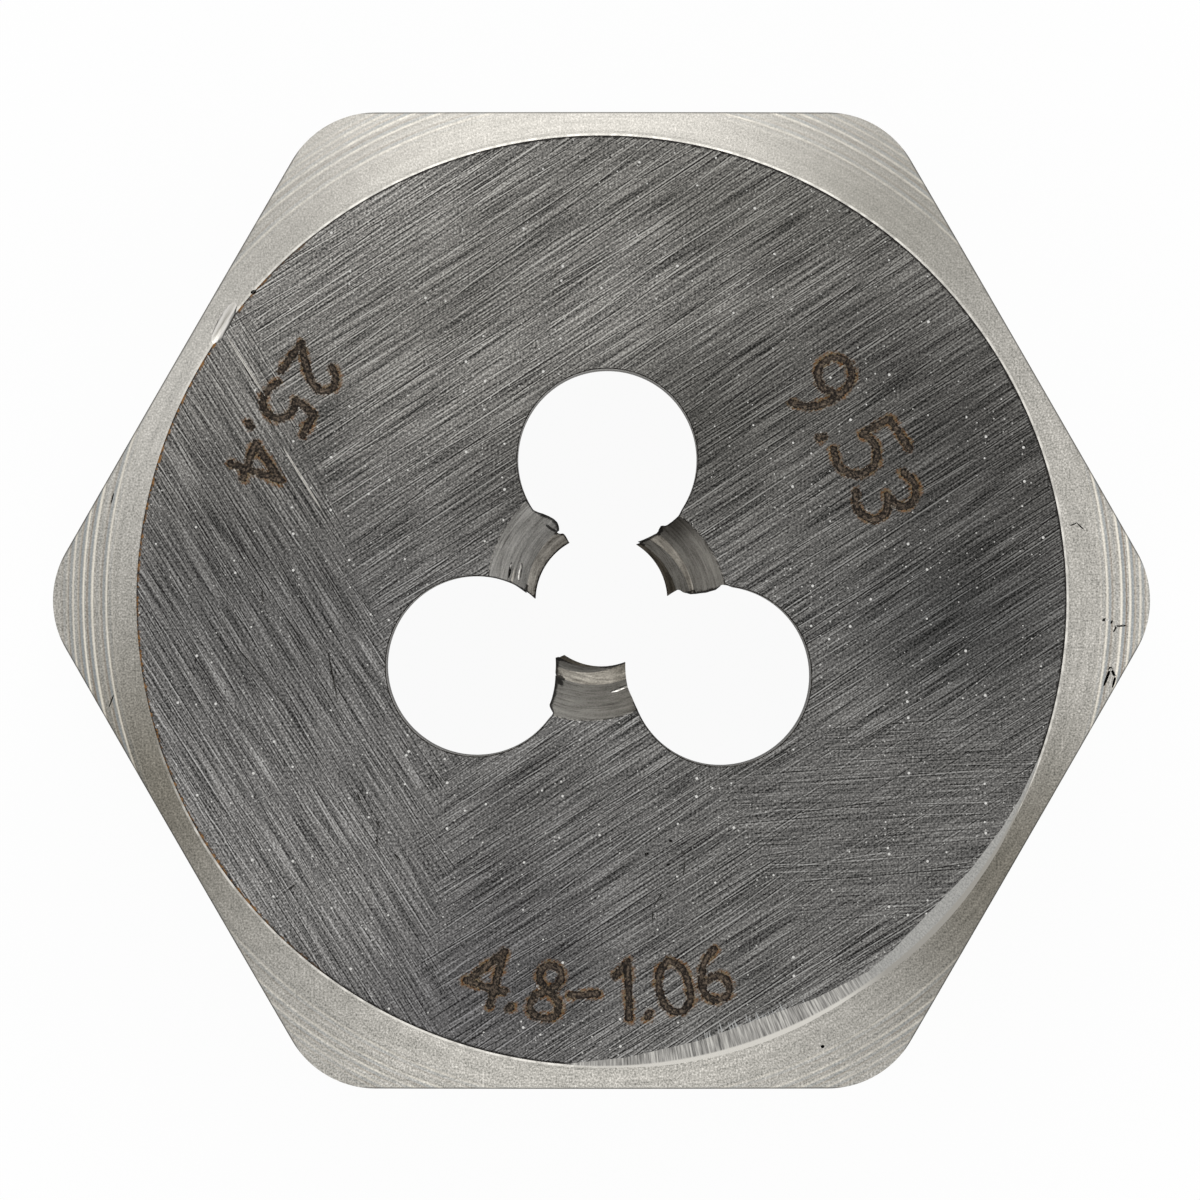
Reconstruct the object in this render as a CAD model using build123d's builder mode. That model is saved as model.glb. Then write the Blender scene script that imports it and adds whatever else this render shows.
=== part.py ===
from build123d import *
from math import ceil, cos, radians, sin, tan
import os

# Solid hexagonal threading die for a 4.826 mm rod, 24 threads to the inch. Millimetres.
# It lies on its back face at Z = 0 with the thread's axis on Z. The start face, where the
# rod goes in, looks up along +Z. Two corners of the hexagon are on the X axis.

# Hexagon
across_flats = 25.4
thickness = 9.525
corner_radius = 2.5

# Cones turned over the corners of both faces
face_margin = 0.56
corner_angle = 30.0

# Right-hand thread, of 60 degree form, with flats of an eighth of the pitch. A groove's
# middle crosses the back face at thread_turn, anticlockwise from +X.
thread_diameter = 4.826
thread_pitch = 25.4 / 24
flank_angle = 30.0
thread_flat = thread_pitch / 8
thread_turn = 160.6

# Clearance holes, which pass the chips and part the three cutting lands
hole_count = 3
hole_diameter = 4.68
hole_overlap = 0.38
hole_turn = -2.4

# Lead-in on the start face, relieved behind the cutting edge of each land
lead_margin = 0.74
lead_angle = 30.0
lead_relief = 0.35

# Short chamfer at the back, so that the die also cuts close up to a shoulder
back_margin = 0.25
back_angle = 45.0

# How far cutters run past a face, and into the open bore
overrun = 1.0
bore_overrun = 0.1

# Turn left between two passes of the thread's cutter, inside a clearance hole
pass_gap = 40.0

# What follows from these sizes
apothem = across_flats / 2
sharp_corner = apothem / cos(radians(30))
face_radius = apothem - face_margin
corner_drop = (sharp_corner - face_radius) * tan(radians(corner_angle))
thread_radius = thread_diameter / 2
thread_depth = (thread_pitch - 2 * thread_flat) / (2 * tan(radians(flank_angle)))
crest_radius = thread_radius - thread_depth
groove_mouth = thread_flat + 2 * (thread_depth + bore_overrun) * tan(radians(flank_angle))
hole_radius = hole_diameter / 2
hole_offset = crest_radius + hole_radius - hole_overlap
first_hole = 90 + hole_turn
hole_pitch = 360 / hole_count
land_angles = [first_hole + (n + 0.5) * hole_pitch for n in range(hole_count)]
pass_arc = hole_pitch - pass_gap

os.makedirs("parts", exist_ok=True)


def cone_cutter(plane, face_height, outward, mouth_radius, half_angle, arc):
    """Cut a cone, or a sector of one, that opens outward to mouth_radius at a face."""
    slope = tan(radians(half_angle))
    apex = face_height - outward * mouth_radius / slope
    rim = face_height + outward * overrun
    with BuildSketch(plane) as half_section:
        with BuildLine():
            Polyline((0, apex), (mouth_radius + overrun * slope, rim), (0, rim), close=True)
        make_face()
    turning_axis = Axis(plane.origin, (0, 0, 1))
    revolve(half_section.sketch, turning_axis, revolution_arc=arc, mode=Mode.SUBTRACT)


# Cutter for one pass of the thread's groove across one land, from hole to hole
with BuildPart() as groove:
    with BuildLine() as groove_line:
        Helix(thread_pitch, thread_pitch * pass_arc / 360, crest_radius)
    with BuildSketch(Plane.XZ):
        with BuildLine():
            Polyline(
                (crest_radius - bore_overrun, -groove_mouth / 2),
                (thread_radius, -thread_flat / 2),
                (thread_radius, thread_flat / 2),
                (crest_radius - bore_overrun, groove_mouth / 2),
                close=True,
            )
        make_face()
    sweep(path=groove_line.line, is_frenet=True)

with BuildPart() as hex_die:
    # Slice of hexagon bar with rounded corners
    with BuildSketch():
        RegularPolygon(radius=apothem, side_count=6, major_radius=False)
        fillet(vertices(), radius=corner_radius)
    extrude(amount=thickness)

    # Turning leaves a round flat on each face, inside a cone over the corners
    with BuildSketch(Plane.XZ):
        with BuildLine():
            Polyline(
                (0, 0),
                (face_radius, 0),
                (sharp_corner, corner_drop),
                (sharp_corner, thickness - corner_drop),
                (face_radius, thickness),
                (0, thickness),
                close=True,
            )
        make_face()
    revolve(axis=Axis.Z, mode=Mode.INTERSECT)

    # Bore at the crests of the thread
    with BuildSketch():
        Circle(crest_radius)
    extrude(amount=thickness, mode=Mode.SUBTRACT)

    # Clearance holes break into the bore
    with BuildSketch():
        with PolarLocations(hole_offset, hole_count, start_angle=first_hole):
            Circle(hole_radius)
    extrude(amount=thickness, mode=Mode.SUBTRACT)

    # A right-hand thread is cut by the anticlockwise edge of each land, seen from the start
    # face. The lead-in cone of a land stands off the axis towards its clockwise edge, so the
    # land falls away behind its cutting edge. The ends of each sector lie in the open holes.
    for land_angle in land_angles:
        heel = radians(land_angle - 90)
        first_edge = radians(land_angle - hole_pitch / 2)
        land_plane = Plane(
            origin=(lead_relief * cos(heel), lead_relief * sin(heel), 0),
            x_dir=(cos(first_edge), sin(first_edge), 0),
            z_dir=(sin(first_edge), -cos(first_edge), 0),
        )
        cone_cutter(land_plane, thickness, 1, thread_radius + lead_margin, lead_angle, hole_pitch)

    cone_cutter(Plane.XZ, 0, -1, thread_radius + back_margin, back_angle, 360)

    # The thread's groove climbs anticlockwise, one pitch a turn, through all three lands
    passes = []
    for land_angle in land_angles:
        pass_start = land_angle - pass_arc / 2
        for turn in range(-1, ceil(thickness / thread_pitch) + 1):
            height = thread_pitch * (turn + (pass_start - thread_turn) / 360)
            passes.append(Location((0, 0, height), (0, 0, pass_start)))
    with Locations(*passes):
        add(groove.part, mode=Mode.SUBTRACT)

hex_die.part.label = "hex_die"
export_step(hex_die.part, "parts/hex_die.step")
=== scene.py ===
import bmesh
import bpy
import random
from math import atan2, cos, degrees, exp, hypot, pi, radians, sin, sqrt, tan
from mathutils import Matrix, Vector
from mathutils.kdtree import KDTree


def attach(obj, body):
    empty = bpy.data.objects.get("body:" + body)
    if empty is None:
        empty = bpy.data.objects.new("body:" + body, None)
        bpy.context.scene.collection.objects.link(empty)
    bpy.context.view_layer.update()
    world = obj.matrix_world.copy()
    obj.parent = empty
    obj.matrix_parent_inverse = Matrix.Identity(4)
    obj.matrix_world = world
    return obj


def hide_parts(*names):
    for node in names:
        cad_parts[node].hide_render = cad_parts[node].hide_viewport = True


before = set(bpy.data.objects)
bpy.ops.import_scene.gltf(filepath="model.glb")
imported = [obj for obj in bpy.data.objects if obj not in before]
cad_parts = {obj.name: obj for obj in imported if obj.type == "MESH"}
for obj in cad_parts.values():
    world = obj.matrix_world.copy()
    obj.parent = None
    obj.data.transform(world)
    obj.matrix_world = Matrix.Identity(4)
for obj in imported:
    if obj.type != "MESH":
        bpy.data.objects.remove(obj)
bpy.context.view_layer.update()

# Bar
# A slice of hexagon tool steel bar, 25.4 mm across flats, whose corners the mill has rounded.
# Its six sides keep the surface of the drawn bar. The die is cut in millimetres from here on,
# one tool after another, and brought to metres when it is whole.
across_flats = 25.4
thickness = 9.525
bar_corner = 2.5
sharp_corner = across_flats / 2 / cos(radians(30))

# What each tool leaves behind it on the steel
finishes = ["drawn_bar_steel", "turned_steel", "ground_steel", "tapped_steel", "worn_steel",
            "bruised_steel"]


def mark(work, finish, faces=None):
    """Note on faces which finish a tool leaves there."""
    layer = work.faces.layers.int.get("finish") or work.faces.layers.int.new("finish")
    for face in work.faces if faces is None else faces:
        face[layer] = finishes.index(finish)
    return work


def piece(name, work):
    """Make an object of a bmesh."""
    mesh = bpy.data.meshes.new(name)
    work.to_mesh(mesh)
    work.free()
    made = bpy.data.objects.new(name, mesh)
    bpy.context.scene.collection.objects.link(made)
    return made


bar = bmesh.new()
bmesh.ops.create_circle(bar, cap_ends=True, segments=6, radius=sharp_corner)
bmesh.ops.rotate(bar, verts=bar.verts, matrix=Matrix.Rotation(radians(30), 3, "Z"))
bmesh.ops.bevel(bar, geom=bar.verts[:], offset=bar_corner * tan(radians(30)), offset_type="OFFSET",
                segments=20, profile=0.5, affect="VERTICES", material=-1)
# The corners that the bevel gives are made true arcs
arc_centre = sharp_corner - bar_corner / cos(radians(30))
for vert in bar.verts:
    toward = radians(round(degrees(atan2(vert.co.y, vert.co.x)) / 60) * 60)
    middle = Vector((arc_centre * cos(toward), arc_centre * sin(toward), 0))
    vert.co = middle + (vert.co - middle).normalized() * bar_corner
slab = bmesh.ops.extrude_face_region(bar, geom=bar.faces[:])["geom"]
lifted = [part for part in slab if isinstance(part, bmesh.types.BMVert)]
bmesh.ops.translate(bar, verts=lifted, vec=(0, 0, thickness))
bmesh.ops.recalc_face_normals(bar, faces=bar.faces)
bar.normal_update()
mark(bar, "drawn_bar_steel")
mark(bar, "ground_steel", [face for face in bar.faces if abs(face.normal.z) > 0.9999])
die = piece("hex_die_steel", bar)


def linear(code):
    """Turn an sRGB hex colour to linear light."""
    shades = [int(code[n:n + 2], 16) / 255 for n in (1, 3, 5)]
    return tuple(s / 12.92 if s <= 0.04045 else ((s + 0.055) / 1.055) ** 2.4 for s in shades) + (1.0,)


def add(tree, kind, *values, output=None, stops=(), **settings):
    """Add a node with its settings and links, and give one of its outputs.

    Values and outputs of other nodes go to the sockets in use, in their order, and a last
    dictionary names its sockets. Stops are the places and hex colours of a colour ramp.
    """
    made = tree.nodes.new("ShaderNode" + kind)
    for name, value in settings.items():
        setattr(made, name, value)
    sockets = {}
    if values and isinstance(values[-1], dict):
        *values, sockets = values
    in_use = [socket for socket in made.inputs if socket.enabled]
    pairs = list(zip(in_use, values)) + [(made.inputs[name], value) for name, value in sockets.items()]
    for socket, value in pairs:
        if isinstance(value, bpy.types.NodeSocket):
            tree.links.new(value, socket)
        else:
            socket.default_value = value
    for number, (at, code) in enumerate(stops):
        stop = made.color_ramp.elements[number] if number < 2 else made.color_ramp.elements.new(at)
        stop.position = at
        stop.color = linear(code)
    if output is not None:
        return made.outputs[output]
    given = [socket for socket in made.outputs if socket.enabled]
    return given[0] if given else None


def start_steel(name):
    """Start a finish of the steel. It gives its nodes, and the place on the die in millimetres."""
    steel = bpy.data.materials.new(name)
    steel.use_nodes = True
    tree = steel.node_tree
    tree.nodes.clear()
    place = add(tree, "TexCoord", output="Object")
    return tree, add(tree, "VectorMath", place, {"Scale": 1000.0}, operation="SCALE")


def streaks(tree, place, angle, length, width, seed, detail=2.0, rough=0.6):
    """Noise on the level of the face, drawn out at an angle: its spots are length by width mm."""
    drawn = add(tree, "Mapping", place, (seed, seed, 0), (0, 0, radians(angle)), (length, width, 1),
                vector_type="TEXTURE")
    return add(tree, "TexNoise", drawn, 1.0, detail, rough, noise_dimensions="2D")


def together(tree, patterns, weights):
    """Add up to three patterns, each by its weight, with their middle kept at a half."""
    total = add(tree, "VectorMath", add(tree, "CombineXYZ", *patterns), weights, operation="DOT_PRODUCT")
    return add(tree, "Math", total, 0.5 - sum(weights) / 2, operation="ADD")


def finish_steel(tree, tone, height, smooth, rough, metallic=1.0, deep=0.01):
    """Close a finish: from smooth on its high lines to rough in its low ones, deep in mm."""
    roughness = add(tree, "MapRange", height, 0.2, 0.8, rough, smooth)
    bump = add(tree, "Bump", {"Strength": 0.35, "Distance": deep / 1000, "Height": height})
    shader = add(tree, "BsdfPrincipled", {"Base Color": tone, "Metallic": metallic, "Roughness": roughness,
                                          "Normal": bump})
    add(tree, "OutputMaterial", shader)


# Cold drawn steel: even grey, with fine lines along the bar where the drawing die dragged
tree, place = start_steel("drawn_bar_steel")
drag = streaks(tree, place, 0, 0.11, 0.11, 1, 3.0)
cloud = add(tree, "TexNoise", place, 0.5, 3.0, 0.6)
scale = add(tree, "TexNoise", place, 7.0, 2.0, 0.6)
height = together(tree, (drag, cloud, scale), (0.6, 0.45, 0.3))
tone = add(tree, "ValToRGB", height, stops=((0.25, "#5f5e5c"), (0.5, "#7f7e7a"), (0.75, "#9a9994")))
finish_steel(tree, tone, height, 0.33, 0.48, deep=0.02)

# Turned ends
# Both ends of the slice are turned: a cone takes the corners down and leaves a round face,
# which is ground later. The tool chattered at the corners and left rings there, round a centre
# a little off the die's own.
face_radius = 12.14
cone_slope = tan(radians(30))
rim_break = 0.05
rim_drop = 0.018
# The cone is turned out to here, just past the corners
reach = 14.45
ring_centre = Vector((0.14, 0.0))
# Rings: radius, width and depth
rings = [(12.86, 0.035, 0.003), (13.02, 0.05, 0.009), (13.2, 0.05, 0.003), (13.39, 0.05, 0.011),
         (13.62, 0.055, 0.011), (13.76, 0.04, 0.004), (13.89, 0.04, 0.008), (14.05, 0.05, 0.004)]
deepest_ring = 0.011


def lathe(chain, steps, turn=360.0, closed=False):
    """Turn a chain of (radius, height) points about Z. A closed chain makes a solid sector."""
    work = bmesh.new()
    points = [work.verts.new((radius, 0, height)) for radius, height in chain]
    for pair in zip(points, points[1:]):
        work.edges.new(pair)
    if closed:
        work.faces.new(points)
    bmesh.ops.spin(work, geom=points + list(work.edges) + list(work.faces), cent=(0, 0, 0),
                   axis=(0, 0, 1), angle=radians(turn), steps=steps, use_merge=turn == 360.0)
    bmesh.ops.remove_doubles(work, verts=work.verts, dist=1e-6)
    bmesh.ops.holes_fill(work, edges=[e for e in work.edges if e.is_boundary], sides=0)
    bmesh.ops.recalc_face_normals(work, faces=work.faces)
    work.normal_update()
    return work


def machine(stock, cutter, operation="DIFFERENCE"):
    """Cut the stock with a cutter, and keep what is left as its mesh."""
    tool = piece("cutter", cutter)
    step = stock.modifiers.new("step", "BOOLEAN")
    step.operation = operation
    step.solver = "MANIFOLD"
    step.object = tool
    result = bpy.data.meshes.new_from_object(stock.evaluated_get(bpy.context.evaluated_depsgraph_get()))
    stock.modifiers.clear()
    stock.data = result
    bpy.data.objects.remove(tool)


# The cone has a point every 0.03 mm on the start face, to hold the rings, and every third of
# them at the back. Past the corners the cutter is a plain drum
point_gap = 0.03
cone_points = 75
drum_radius = reach + 0.4
drum_end = 2.5
fine = [face_radius + rim_break + n * point_gap for n in range(1, cone_points + 1)]
cone_line = [(r, (r - face_radius) * cone_slope) for r in fine]
outline = [(face_radius - rim_break, 0), (face_radius, rim_drop)] + cone_line[::3]
outline += [(drum_radius, drum_end), (drum_radius, thickness - drum_end)]
outline += [(r, thickness - z) for r, z in reversed(cone_line)]
outline += [(face_radius, thickness - rim_drop), (face_radius - rim_break, thickness)]
turning = mark(lathe(outline, 360), "turned_steel")
for vert in turning.verts:
    from_centre = (vert.co.xy - ring_centre).length
    if vert.co.z > thickness / 2 and from_centre < reach:
        depths = [depth * exp(-((from_centre - ring) / width) ** 2) for ring, width, depth in rings]
        vert.co.z -= sum(depths)
machine(die, turning, "INTERSECT")


def oval(tree, level, middle, wide, high, angle=0.0):
    """Share of a soft oval area, seen from above: 1 at its middle, 0 at its edge."""
    spot = add(tree, "Mapping", level, (*middle, 0), (0, 0, radians(angle)), (wide, high, 1),
               vector_type="TEXTURE")
    out = add(tree, "VectorMath", spot, operation="LENGTH")
    return add(tree, "MapRange", out, 0.0, 1.0, 1.0, 0.0, interpolation_type="SMOOTHSTEP")


def ring_noise(tree, level, around, track, detail, rough):
    """Noise on rings round the middle of level. Around is how many spots a ring has to each
    radian, and track is how far out a place lies, counted in spots."""
    bearing = add(tree, "VectorMath", level, operation="NORMALIZE")
    bearing = add(tree, "VectorMath", bearing, {"Scale": around}, operation="SCALE")
    out = add(tree, "CombineXYZ", 0.0, 0.0, track)
    return add(tree, "TexNoise", add(tree, "VectorMath", bearing, out, operation="ADD"), 1.0, detail, rough)


# Turned steel: pale and satin, with a fine even grain. It is brightest of all the surfaces,
# partly by its own paler finish and partly by painted light; the rings carry a painted cream
# highlight and a band of painted blue-grey shade; and a dark line lies along the sharp edges to
# the flats
tree, place = start_steel("turned_steel")
level = add(tree, "VectorMath", place, (1, 1, 0), operation="MULTIPLY")
x, y, _ = add(tree, "SeparateXYZ", level).node.outputs
off_centre = add(tree, "VectorMath", level, ring_centre.to_3d(), operation="SUBTRACT")
grain = streaks(tree, place, 0, 0.05, 0.05, 5, 1.0)
blotch = streaks(tree, place, 0, 0.35, 0.35, 9)
# The feed of the tool is finer than shows, so it is drawn every tenth of a millimetre
track = add(tree, "VectorMath", off_centre, operation="LENGTH")
track = add(tree, "Math", track, 10.0, operation="MULTIPLY")
feed = ring_noise(tree, off_centre, 4.0, track, 2.0, 0.6)
height = together(tree, (grain, feed, blotch), (0.85, 0.35, 0.2))
tone = add(tree, "ValToRGB", height, stops=((0.15, "#5b5a56"), (0.4, "#8b8983"), (0.6, "#a09d97"),
                                            (0.9, "#c9c6bf")))
# Painted light: the top is painted more even and pale, where strong light washes out the grain;
# painted shade dulls the lower left and right, and a little the upper right; and a painted
# highlight brightens the upper left
even = add(tree, "MapRange", y, 7.0, 11.5, 0.0, 0.6)
tone = add(tree, "Mix", even, tone, linear("#999690"), data_type="RGBA")
# Areas of painted shade and highlight: middle, angle and half length along the cone, colour,
# and how it is laid on
painted_light_areas = [((10.4, -7.0), 56, 6.3, "#c0bdb6", "MULTIPLY"), ((-11.5, -4.9), -67, 6.3, "#c0bdb6", "MULTIPLY"),
         ((7.5, 10.2), -37, 5.0, "#ededeb", "MULTIPLY"), ((-11.3, 5.5), 64, 6.0, "#5c5b59", "ADD")]
half_width = 4.0
for middle, angle, half_length, code, blend in painted_light_areas:
    share = oval(tree, level, middle, half_length, half_width, angle)
    tone = add(tree, "Mix", share, tone, linear(code), data_type="RGBA", blend_type=blend)
# The rings are clearest at the left and right corners, and broken elsewhere
sideways = add(tree, "MapRange", add(tree, "Math", x, operation="ABSOLUTE"), 10.5, 13.0)
broken = add(tree, "MapRange", ring_noise(tree, off_centre, 16.0, 0.0, 4.0, 0.8), 0.4, 0.6, 0.0, 0.5)
clear = add(tree, "MapRange", add(tree, "Math", sideways, broken, operation="ADD"), 0.0, 1.2, 0.2, 1.0)
# Each ring carries a painted highlight line, a band of painted blue-grey shade, and dirt
for name, code, share in (("ring_shade_band", "#7c8387", 0.75), ("ring_dirt", "#6b5844", 0.6),
                          ("ring_highlight", "#d9d3c6", 0.85)):
    ring = add(tree, "Attribute", output="Fac", attribute_name=name)
    ring = add(tree, "MapRange", ring, 0.1, 0.9, 0.0, share)
    ring = add(tree, "Math", ring, clear, operation="MULTIPLY")
    tone = add(tree, "Mix", ring, tone, linear(code), data_type="RGBA")
# A dark line is laid along the sharp edges to the flats
rough_edge = add(tree, "Math", grain, 0.03, operation="MULTIPLY")
across = add(tree, "Math", y, operation="ABSOLUTE")
for lean in (radians(30), radians(-30)):
    side = add(tree, "VectorMath", level, (cos(lean), sin(lean), 0), operation="DOT_PRODUCT")
    across = add(tree, "Math", add(tree, "Math", side, operation="ABSOLUTE"), across, operation="MAXIMUM")
across = add(tree, "Math", across, rough_edge, operation="ADD")
flat_edge_dark = add(tree, "MapRange", across, across_flats / 2 - 0.03, across_flats / 2, 0.0, 0.8)
tone = add(tree, "Mix", flat_edge_dark, tone, linear("#3f3e3b"), data_type="RGBA")
# A painted highlight lies along the rim of the face, in places, but not at the far left
from_axis = add(tree, "VectorMath", level, operation="LENGTH")
from_axis = add(tree, "Math", from_axis, rough_edge, operation="ADD")
rim_highlight = add(tree, "MapRange", from_axis, face_radius + 0.03, face_radius + 0.01)
rim_highlight = add(tree, "Math", rim_highlight, add(tree, "MapRange", blotch, 0.4, 0.6, 0.35, 0.85), operation="MULTIPLY")
rim_highlight = add(tree, "Math", rim_highlight, add(tree, "MapRange", x, -11.8, -10.5), operation="MULTIPLY")
tone = add(tree, "Mix", rim_highlight, tone, linear("#cdcac3"), data_type="RGBA")
finish_steel(tree, tone, height, 0.38, 0.5)

# Clearance holes
# Three drilled holes break into the bore. They carry the chips off and part the three cutting
# lands. The lead-in's cutter has pushed a burr into each hole, behind the land that it left.
crest_radius = 1.7256
hole_radius = 2.34
hole_offset = 3.6856
hole_angles = [87.6, 207.6, 327.6]
hole_break = 0.03
lead_radius = 3.153
lead_relief = 0.35
lead_slope = tan(radians(30))
land_angles = [27.6, 147.6, 267.6]

# How far each burr stands into its hole, by distance from the thread's axis, on the clockwise
# and on the anticlockwise side of each land. Below zero the edge is broken away.
burrs = {
    (0, -1): [(1.72, -0.17), (2.1, -0.18), (2.17, -0.05), (2.3, 0.06), (2.45, 0.1), (2.72, 0.13),
              (2.98, 0.09), (3.08, 0.02), (3.15, -0.05), (3.3, -0.04), (3.45, 0)],
    (0, 1): [(1.72, 0.05), (2.3, 0.03), (2.37, 0.08), (2.47, 0.12), (2.56, 0.03), (2.75, 0),
             (3.0, -0.03), (3.2, 0)],
    (1, -1): [(1.72, -0.08), (1.88, 0.06), (1.98, 0.13), (2.03, 0.08), (2.07, 0.06), (2.14, 0.17),
              (2.25, 0.24), (2.4, 0.25), (2.56, 0.21), (2.72, 0.14), (2.82, 0.07), (2.95, 0)],
    (1, 1): [(1.72, 0.03), (2.0, 0.03), (2.3, 0)],
    (2, -1): [(1.72, 0.26), (2.1, 0.27), (2.3, 0.25), (2.62, 0.22), (2.9, 0.19), (3.04, 0.18),
              (3.12, 0.12), (3.16, 0), (3.25, -0.02), (3.4, 0)],
    (2, 1): [(1.72, -0.19), (2.0, -0.15), (2.4, -0.1), (2.7, -0.03), (3.0, 0)],
}


def read_off(table, at):
    """Read a value between the lines of a table, and nothing beyond its ends."""
    for (a, low), (b, high) in zip(table, table[1:]):
        if a <= at <= b:
            return low + (high - low) * (at - a) / (b - a)
    return 0.0


hole_centres = [Vector((hole_offset * cos(radians(angle)), hole_offset * sin(radians(angle)), 0))
                for angle in hole_angles]
# How far the cutters run past a face, and how finely a hole's wall is divided near the top
overrun = 1.0
wall_step = 0.09
wall_points = 34
# A burr ends within burr_reach of the axis, keeps its width as far as burr_depth below the
# cone of the lead-in, and dies out over burr_fade
burr_reach = 4.0
burr_depth = 0.1
burr_fade = 0.3
for hole, (hole_angle, centre) in enumerate(zip(hole_angles, hole_centres)):
    mouth_radius = hole_radius + hole_break
    chain = [(mouth_radius + overrun, thickness + overrun), (mouth_radius, thickness)]
    chain += [(hole_radius, thickness - hole_break - wall_step * n) for n in range(wall_points)]
    chain += [(hole_radius, hole_break), (mouth_radius + overrun, -overrun)]
    drill = lathe(chain, 300)
    bmesh.ops.translate(drill, verts=drill.verts, vec=centre)
    for vert in drill.verts:
        radius = vert.co.xy.length
        turn = (degrees(atan2(vert.co.y, vert.co.x)) - hole_angle + 180) % 360 - 180
        past_face = abs(vert.co.z - thickness / 2) > (thickness + overrun) / 2
        if past_face or radius > burr_reach:
            continue
        # Clockwise of a hole lies the anticlockwise side of a land, and the other way round
        side = 1 if turn < 0 else -1
        land = hole if turn < 0 else (hole + 1) % 3
        stand = read_off(burrs[(land, side)], radius)
        if stand > 0:
            heel = radians(land_angles[land] - 90)
            mouth = hypot(vert.co.x - lead_relief * cos(heel), vert.co.y - lead_relief * sin(heel))
            cone_height = thickness - (lead_radius - mouth) / lead_slope
            below = max(0, cone_height - burr_depth - vert.co.z)
            stand *= exp(-((below / burr_fade) ** 2))
        outward = vert.co - centre
        outward.z = 0
        vert.co -= outward.normalized() * stand
    machine(die, mark(drill, "tapped_steel"))

# Thread and lead-in
# A right-hand thread of 24 turns to the inch for a 4.826 mm rod, tapped through the bore. A
# cone opens it on the start face, ground off centre on each land so that the land falls away
# behind its cutting edge, and a short chamfer opens it at the back.
thread_radius = 2.413
thread_pitch = 25.4 / 24
thread_flat = thread_pitch / 8
thread_turn = 160.6
# The lead-in is cut one land at a time, and the back chamfer at 45 degrees all round
lead_sector = 120.0
back_radius = 2.663
chamfer_top = 1.9375

bore_line = [(crest_radius, -overrun), (crest_radius, thickness + overrun)]
machine(die, mark(lathe(bore_line, 180), "tapped_steel"))

top = thickness + overrun
lead_line = [(0, thickness - lead_radius / lead_slope), (lead_radius + overrun * lead_slope, top), (0, top)]
for land_angle in land_angles:
    lead = lathe(lead_line, 120, lead_sector, closed=True)
    heel = radians(land_angle - 90)
    first_side = Matrix.Rotation(radians(land_angle - lead_sector / 2), 3, "Z")
    bmesh.ops.rotate(lead, verts=lead.verts, matrix=first_side)
    bmesh.ops.translate(lead, verts=lead.verts, vec=(lead_relief * cos(heel), lead_relief * sin(heel), 0))
    machine(die, mark(lead, "tapped_steel"))

chamfer_line = [(crest_radius - overrun, chamfer_top), (back_radius + overrun, -overrun)]
machine(die, mark(lathe(chamfer_line, 180), "tapped_steel"))

# The thread is cut by one coil that starts a turn below the back face and ends past the front
groove_reach = 0.1
groove_mouth = thread_flat + 2 * (thread_radius - crest_radius + groove_reach) * tan(radians(30))
turns = 11
turn_steps = 90
groove = bmesh.new()
section = [groove.verts.new(point) for point in (
    (crest_radius - groove_reach, 0, -groove_mouth / 2), (thread_radius, 0, -thread_flat / 2),
    (thread_radius, 0, thread_flat / 2), (crest_radius - groove_reach, 0, groove_mouth / 2))]
start = groove.faces.new(section)
bmesh.ops.translate(groove, verts=section, vec=(0, 0, -thread_pitch))
bmesh.ops.spin(groove, geom=section + list(groove.edges) + [start], cent=(0, 0, 0), axis=(0, 0, 1),
               dvec=(0, 0, thread_pitch / turn_steps), angle=radians(360 * turns),
               steps=turn_steps * turns)
bmesh.ops.remove_doubles(groove, verts=groove.verts, dist=1e-6)
bmesh.ops.rotate(groove, verts=groove.verts, matrix=Matrix.Rotation(radians(thread_turn), 3, "Z"))
bmesh.ops.recalc_face_normals(groove, faces=groove.faces)
machine(die, mark(groove, "tapped_steel"))

# Wear
# The rim of the face is worn down to narrow flats at the lower right, and chipped at the
# upper left. Knocks and drags left short trenches on the face and at the corners.

# Worn flats: bearing of the middle in degrees, width in from the rim, and tilt in degrees
worn_flats = [(-84, 0.26, 5), (-77, 0.42, 5), (-70, 0.52, 5), (-63, 0.4, 5), (-56, 0.19, 6),
              (-50, 0.3, 7), (-44, 0.38, 7), (-37, 0.27, 7), (-31, 0.17, 7), (-25, 0.11, 8)]
grinder_size = 6.0
for rim_angle, width, tilt in worn_flats:
    grinder = bmesh.new()
    bmesh.ops.create_cube(grinder, size=grinder_size)
    bmesh.ops.translate(grinder, verts=grinder.verts, vec=(grinder_size / 2, 0, grinder_size / 2))
    bmesh.ops.rotate(grinder, verts=grinder.verts, matrix=Matrix.Rotation(radians(tilt), 3, "Y"))
    bmesh.ops.translate(grinder, verts=grinder.verts, vec=(face_radius - width, 0, thickness))
    bmesh.ops.rotate(grinder, verts=grinder.verts, matrix=Matrix.Rotation(radians(rim_angle), 3, "Z"))
    machine(die, mark(grinder, "worn_steel"))

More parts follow.
